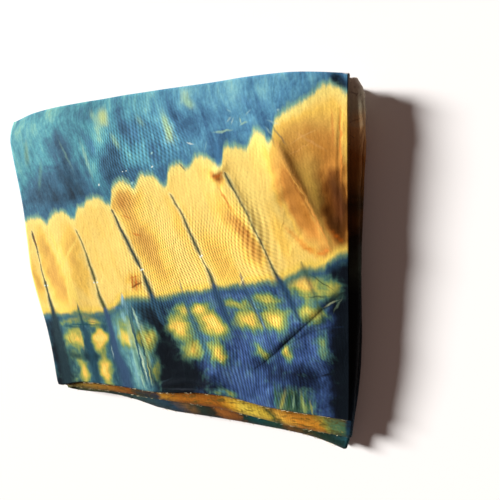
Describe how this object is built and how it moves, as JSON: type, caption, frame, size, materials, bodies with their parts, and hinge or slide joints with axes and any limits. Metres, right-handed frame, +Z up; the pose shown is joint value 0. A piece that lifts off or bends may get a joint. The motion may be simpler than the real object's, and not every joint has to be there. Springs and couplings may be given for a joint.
{
  "type": "folded fabric bundle",
  "caption": "Length of tie-dyed cotton cloth, folded in layers into a low square bundle that lies flat.",
  "frame": {"origin": "middle of the bundle's footprint, on the surface that it lies on", "axes": "+Z up through the layers, +X along the cloth's length towards the top layer's cut end, +Y from the open selvedges to the lengthwise fold"},
  "size_m": [0.3372, 0.3374, 0.0333],
  "materials": {
    "dyed_cotton": "soft sheen, tie-dyed in blue, teal, golden yellow and navy"
  },
  "bodies": {
    "root": {"cloth": "dyed_cotton"}
  },
  "joints": []
}
